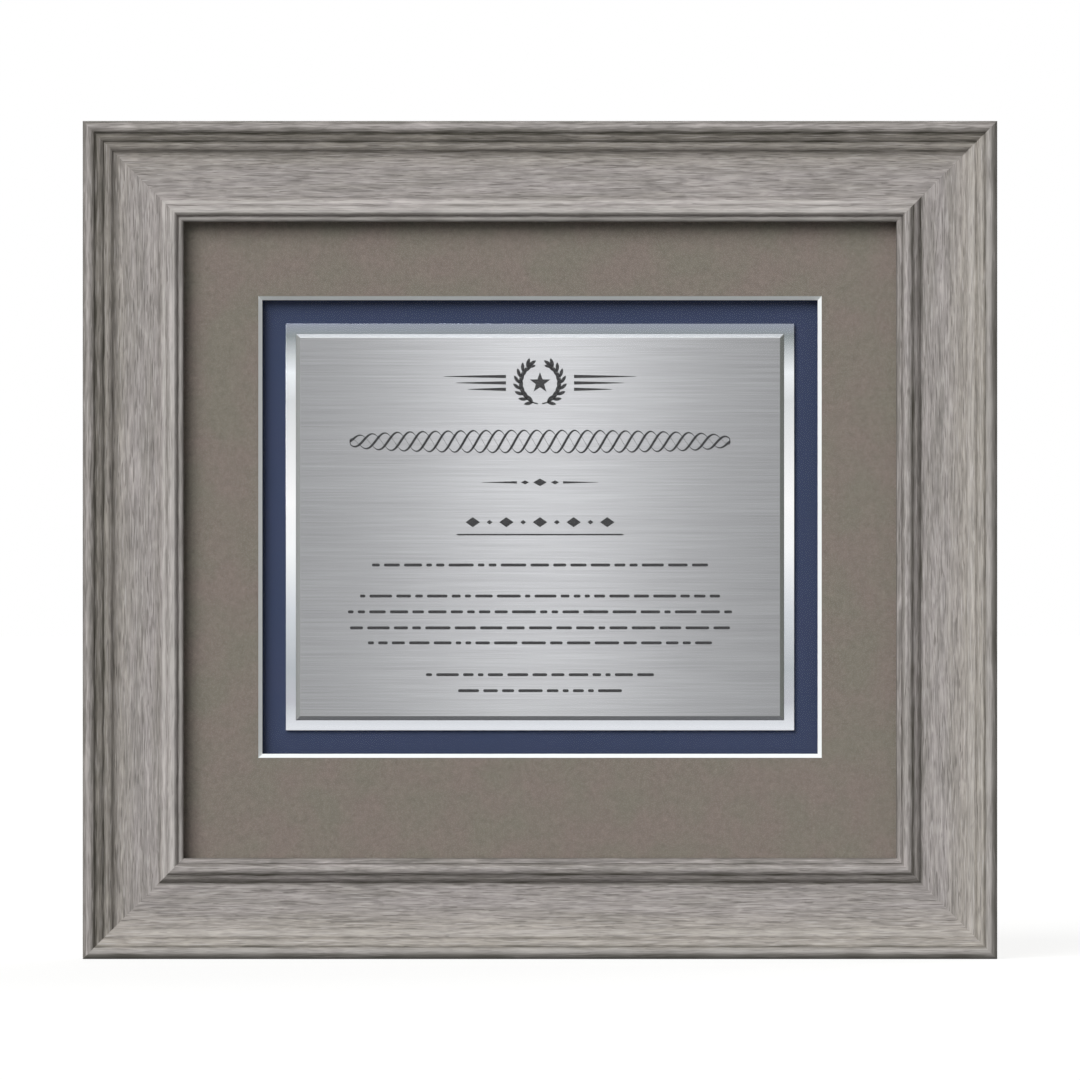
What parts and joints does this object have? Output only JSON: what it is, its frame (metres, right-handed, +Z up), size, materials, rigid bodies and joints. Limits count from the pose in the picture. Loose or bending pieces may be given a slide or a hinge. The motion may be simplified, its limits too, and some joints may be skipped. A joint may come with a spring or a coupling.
{
  "type": "certificate frame",
  "caption": "Landscape certificate frame: weathered grey moulding, glass, taupe window mat and a navy board with a bevelled brushed metal plaque.",
  "frame": {"origin": "under the middle of the bottom rail, midway through the depth from the moulding's crown to the wall bumpers' faces", "axes": "+X to the right as seen from the front, +Y towards the wall, +Z up; the front faces -Y"},
  "size_m": [0.4556, 0.033, 0.4175],
  "materials": {
    "weathered_wood": "grey wash rubbed back over dark glaze, matt",
    "nail_steel": "bare spring steel",
    "clear_glass": "clear picture glass",
    "mat_board": "matt taupe face with a white core",
    "foam_board": "white paper faces on foam",
    "navy_board": "matt navy face",
    "foam_tape": "double-sided foam tape",
    "polished_plate": "polished",
    "brushed_plate": "brushed lengthwise",
    "hardboard": "smooth brown hardboard",
    "zinc_steel": "bright zinc plate",
    "black_rubber": "matt"
  },
  "bodies": {
    "frame": {"top_rail": "weathered_wood", "bottom_rail": "weathered_wood", "left_rail": "weathered_wood", "right_rail": "weathered_wood", "corner_v_nails": "nail_steel", "glass_pane": "clear_glass", "window_mat": "mat_board", "spacer_strip_top": "foam_board", "spacer_strip_bottom": "foam_board", "spacer_strip_left": "foam_board", "spacer_strip_right": "foam_board", "plaque_board": "navy_board", "plaque_foam_pads": "foam_tape", "plaque_base_plate": "polished_plate", "plaque_tapes": "foam_tape", "plaque_face_plate": "brushed_plate", "backing_board": "hardboard", "turn_button_screws": "zinc_steel", "left_hanger_strap": "zinc_steel", "right_hanger_strap": "zinc_steel", "hanger_screws": "zinc_steel", "wall_bumpers": "black_rubber"},
    "turn_button_top_left": {"turn_button_top_left": "zinc_steel"},
    "turn_button_top_right": {"turn_button_top_right": "zinc_steel"},
    "turn_button_bottom_left": {"turn_button_bottom_left": "zinc_steel"},
    "turn_button_bottom_right": {"turn_button_bottom_right": "zinc_steel"},
    "turn_button_left": {"turn_button_left": "zinc_steel"},
    "turn_button_right": {"turn_button_right": "zinc_steel"},
    "left_hanger_ring": {"left_hanger_ring": "zinc_steel"},
    "right_hanger_ring": {"right_hanger_ring": "zinc_steel"}
  },
  "joints": [
    {"name": "turn_button_top_left_turn", "type": "hinge", "parent": "frame", "child": "turn_button_top_left", "pos_m": [-0.095, 0.0122, 0.38285], "axis": [0, 1, 0], "continuous": true},
    {"name": "turn_button_top_right_turn", "type": "hinge", "parent": "frame", "child": "turn_button_top_right", "pos_m": [0.095, 0.0122, 0.38285], "axis": [0, 1, 0], "continuous": true},
    {"name": "turn_button_bottom_left_turn", "type": "hinge", "parent": "frame", "child": "turn_button_bottom_left", "pos_m": [-0.095, 0.0122, 0.03465], "axis": [0, 1, 0], "continuous": true},
    {"name": "turn_button_bottom_right_turn", "type": "hinge", "parent": "frame", "child": "turn_button_bottom_right", "pos_m": [0.095, 0.0122, 0.03465], "axis": [0, 1, 0], "continuous": true},
    {"name": "turn_button_left_turn", "type": "hinge", "parent": "frame", "child": "turn_button_left", "pos_m": [-0.19315, 0.0122, 0.18875], "axis": [0, 1, 0], "continuous": true},
    {"name": "turn_button_right_turn", "type": "hinge", "parent": "frame", "child": "turn_button_right", "pos_m": [0.19315, 0.0122, 0.18875], "axis": [0, 1, 0], "continuous": true},
    {"name": "left_ring_swing", "type": "hinge", "parent": "frame", "child": "left_hanger_ring", "pos_m": [-0.206, 0.01375, 0.292], "axis": [1, 0, 0], "range_deg": [0, 174]},
    {"name": "right_ring_swing", "type": "hinge", "parent": "frame", "child": "right_hanger_ring", "pos_m": [0.206, 0.01375, 0.292], "axis": [1, 0, 0], "range_deg": [0, 174]}
  ]
}
